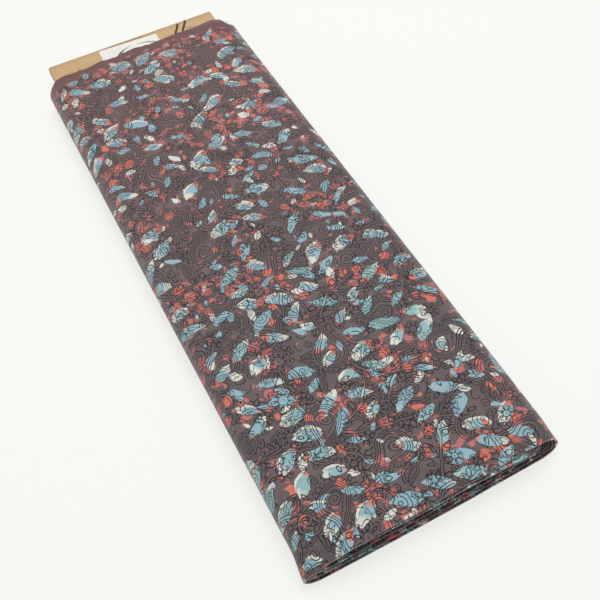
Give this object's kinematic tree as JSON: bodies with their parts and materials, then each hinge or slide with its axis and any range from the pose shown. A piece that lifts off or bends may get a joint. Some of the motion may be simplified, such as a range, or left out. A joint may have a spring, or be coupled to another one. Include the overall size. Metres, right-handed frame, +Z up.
{
  "type": "bolt of dabu print cotton fabric on a cardboard bolt board",
  "caption": "Flat bolt of block-printed cotton, folded double and wound in turns round a flat cardboard board that stands out at one end.",
  "frame": {"origin": "centre of the whole bolt in plan, on the surface that its underside lies on", "axes": "+X across the bolt, +Y along it from the cloth's folded edge to its selvedges and the bare end of the board, +Z up from the underside"},
  "size_m": [0.2137, 0.598, 0.0291],
  "materials": {
    "printed_cotton": "matt plain-weave cotton, mauve-brown ground with sky blue, coral red and cream block print and fine black outlines",
    "cardboard": "bare brown corrugated board",
    "paper": "smooth white paper, slightly creased"
  },
  "bodies": {
    "root": {"bolt_board": "cardboard", "paper_label": "paper", "cloth_turn_1": "printed_cotton", "cloth_turn_2": "printed_cotton", "cloth_turn_3": "printed_cotton", "cloth_turn_4": "printed_cotton", "cloth_turn_5": "printed_cotton"}
  },
  "joints": []
}
